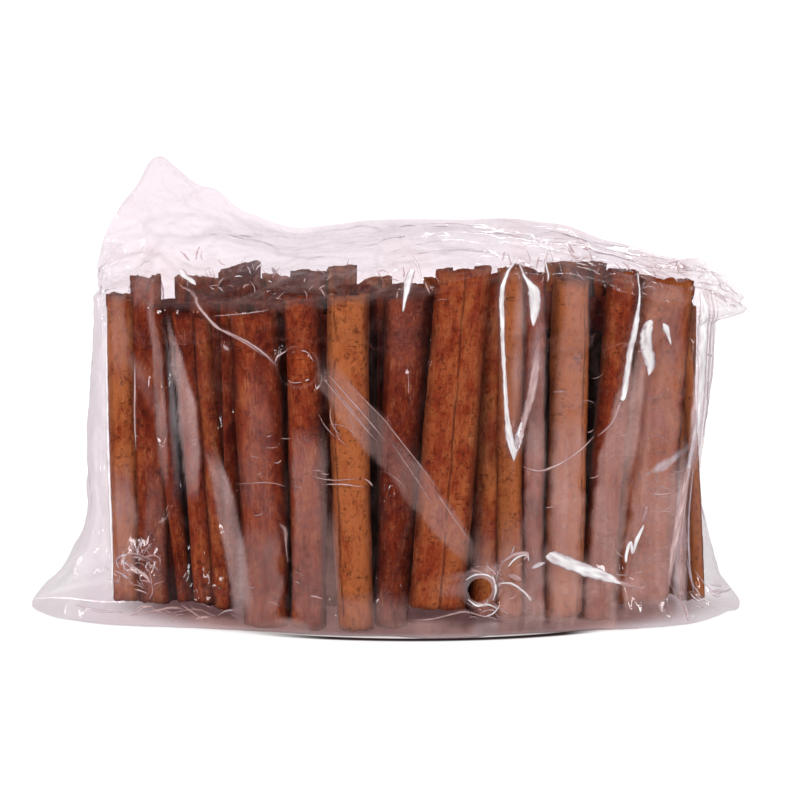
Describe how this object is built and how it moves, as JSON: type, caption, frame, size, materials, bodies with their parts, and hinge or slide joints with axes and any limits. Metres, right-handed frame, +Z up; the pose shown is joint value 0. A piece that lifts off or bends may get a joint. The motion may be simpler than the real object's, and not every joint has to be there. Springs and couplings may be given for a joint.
{
  "type": "clear film bag of cinnamon sticks",
  "caption": "Clear film pillow bag standing upright, packed with curled cinnamon bark sticks. Its foot corners lie out as ears, and one head corner stands up as a peak.",
  "frame": {"origin": "on the floor under the middle of the bag's outer box", "axes": "+X to the right along the bag's width, +Y to its back, +Z up along the sticks"},
  "size_m": [0.1754, 0.0618, 0.1112],
  "materials": {
    "film": "clear soft film with a faint milky pink haze, sharp glints on its creases, sealed edges and small vent holes",
    "bark": "dry rolled cassia bark, red-brown to tan, fine lengthwise fibres, cracks and pale scars, matt"
  },
  "bodies": {
    "root": {"cinnamon_bag": "film"}
  },
  "joints": []
}
